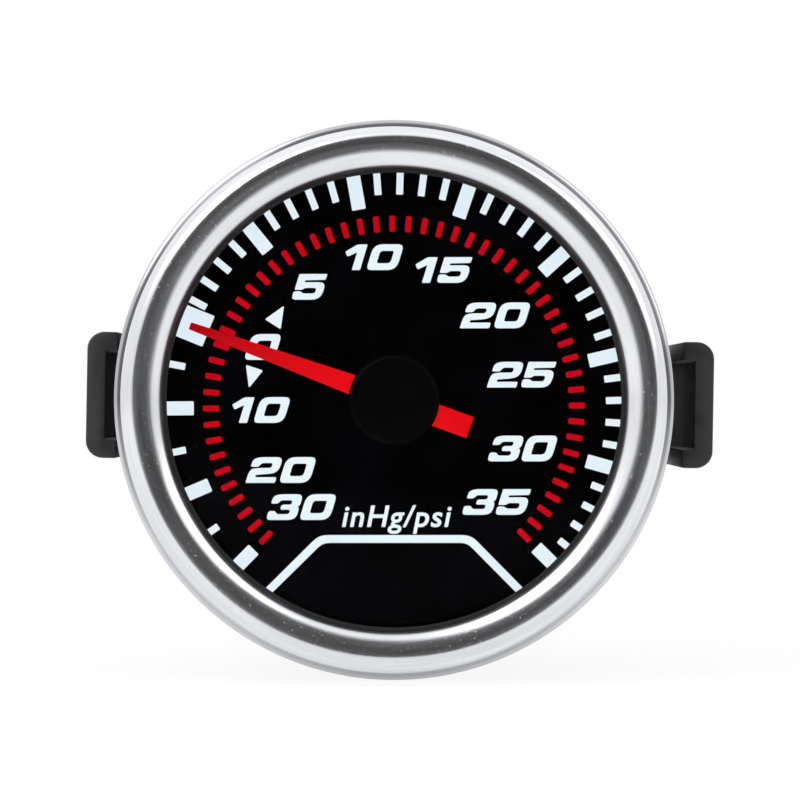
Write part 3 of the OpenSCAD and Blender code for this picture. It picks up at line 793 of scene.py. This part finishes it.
# Brass: the port nut and the hose nipple behind the case, and the movement inside it.
brass = Finish("turned_brass", {"Metallic": 1.0})
brass_lines = brass.noise(0.12, 2, stretch=(0.15, 1, 0.15))
tarnish = brass.noise(2.5, 4)
brass.set("Base Color", brass.blend(tarnish, (0.72, 0.50, 0.20), (0.86, 0.66, 0.32)))
brass.set("Roughness", (brass_lines * 0.15 + tarnish * 0.15 + 0.15).clamped())
brass.set("Normal", brass.bump(brass_lines, 0.006, 0.5))
brass.on(softened("port_nut", "port_hexagon_nut", "brass", "gauge", 0.15))
brass.on(softened("hose_fitting", "hose_nipple", "brass", "gauge", 0.1))
brass.on(softened("left_nut", "left_thumb_nut", "brass", "left_nut", 0.12))
brass.on(softened("right_nut", "right_thumb_nut", "brass", "right_nut", 0.12))
for node in (
    "pinion",
    "collet",
    "front_plate",
    "back_plate",
    "pillars",
    "bushes",
    "sector_gear",
    "tube_tip",
    "socket_block",
):
    brass.on(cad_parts[node])

# Steel: the studs, whose threads are even grooves, the spring washers, and the movement's screws
# and arbors.
steel = Finish("zinc_plated_steel", {"Metallic": 1.0})
steel_cloud = steel.noise(1.8, 3)
steel_fine = steel.noise(0.1, 2, stretch=(0.2, 1, 1))
steel.set("Base Color", steel.blend(steel_cloud, (0.42, 0.42, 0.41), (0.60, 0.61, 0.62)))
steel.set("Roughness", (steel_cloud * 0.2 + steel_fine * 0.1 + 0.16).clamped())
steel.set("Normal", steel.bump(steel_fine, 0.004, 0.5))
stud_r, stud_off, stud_rear, stud_chamfer = 2.0, 17, -60, 0.4
head_front, head_rear, head_r, head_chamfer = -31.3, -32.4, 3.2, 0.2
groove_pitch, groove_depth, grooves, groove_start = 0.7, 0.25, 34, -35.5
stud_side = []
for i in range(grooves):
    top = groove_start - groove_pitch * i
    stud_side += [
        (stud_r, top),
        (stud_r - groove_depth, top - groove_pitch * 0.45),
        (stud_r - groove_depth, top - groove_pitch * 0.55),
    ]
for side, place in (("left", -stud_off), ("right", stud_off)):
    turned(
        [
            (0, head_front),
            (head_r - head_chamfer, head_front),
            (head_r, head_front - head_chamfer),
            (head_r, head_rear),
            (stud_r, head_rear),
        ]
        + stud_side
        + [
            (stud_r, groove_start - groove_pitch * grooves),
            (stud_r, stud_rear + stud_chamfer),
            (stud_r - stud_chamfer, stud_rear),
            (0, stud_rear),
        ],
        48,
        (place, 0),
    )
    stud = settle(side + "_stud", "steel", "gauge", "studs")
    steel.on(stud)
steel.on(softened("spring_washers", "split_washers", "steel", "clamp", 0.08))
for node in (
    "board_screws",
    "pointer_shaft",
    "plate_screws",
    "sector_arbor",
    "link_pin",
    "link_rod",
    "block_screws",
):
    steel.on(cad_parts[node])

# Springs: the bent pressure tube and the hairspring, both of hard bronze.
bronze = Finish("spring_bronze", {"Metallic": 1.0})
bronze_cloud = bronze.noise(1.5, 3)
bronze.set("Base Color", bronze.blend(bronze_cloud, (0.58, 0.36, 0.16), (0.76, 0.52, 0.28)))
bronze.set("Roughness", bronze.between(bronze_cloud, 0.3, 0.7, 0.22, 0.36))
bronze.on(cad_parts["hairspring"])
bronze.on(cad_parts["bourdon_tube"])

# Light: a clear guide behind the dial and a green board with white lamps.
acrylic = Finish("frosted_acrylic", {"Base Color": (0.85, 0.88, 0.90)})
frost = acrylic.noise(0.3, 3)
acrylic.set("Roughness", acrylic.between(frost, 0.3, 0.7, 0.25, 0.5))
acrylic.on(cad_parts["light_guide"])
board = Finish("green_board", {"Roughness": 0.4})
tracks = board.between(board.noise(2.0, 0), 0.48, 0.5)
board.set("Base Color", board.blend(tracks, (0.01, 0.10, 0.035), (0.02, 0.17, 0.06)))
board.on(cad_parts["lamp_board"])
lamp = Finish("lamp_body", {"Roughness": 0.35})
lamp.set("Base Color", lamp.blend(lamp.noise(0.8, 2), (0.80, 0.80, 0.74), (0.90, 0.88, 0.70)))
lamp.on(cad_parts["lamps"])
